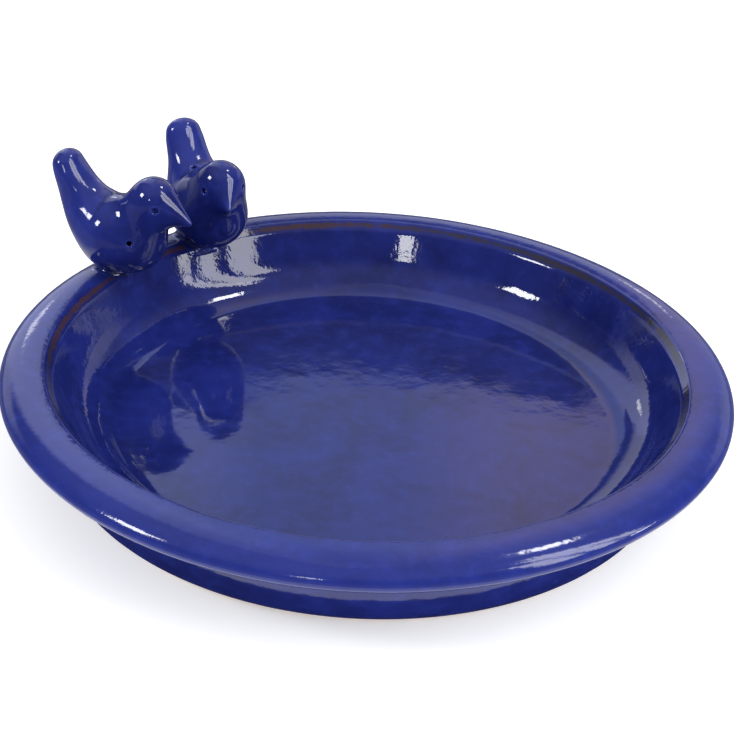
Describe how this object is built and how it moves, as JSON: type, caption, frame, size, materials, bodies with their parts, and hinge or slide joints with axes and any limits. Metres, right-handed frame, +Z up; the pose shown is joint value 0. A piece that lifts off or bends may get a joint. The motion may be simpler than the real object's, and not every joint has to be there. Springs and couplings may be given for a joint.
{
  "type": "bird bath",
  "caption": "Shallow round glazed ceramic bird bath: flat-floored dish with a thick rounded rim and small hand-shaped birds perched on it.",
  "frame": {"origin": "centre of the foot ring, on the surface the dish stands on", "axes": "+Z up along the axis that the dish is turned about; the birds sit on the rim towards -X and +Y and face the middle; -Y is the front"},
  "size_m": [0.312, 0.312, 0.0978],
  "materials": {
    "dish_glaze": "gloss cobalt blue glaze, brown where it breaks over the lip",
    "bird_glaze": "gloss cobalt blue glaze, darker in the hollows"
  },
  "bodies": {
    "root": {"basin": "dish_glaze", "rim_roll": "dish_glaze", "left_bird_body": "bird_glaze", "left_bird_head": "bird_glaze", "left_bird_saddle": "bird_glaze", "right_bird_body": "bird_glaze", "right_bird_head": "bird_glaze", "right_bird_saddle": "bird_glaze"}
  },
  "joints": []
}
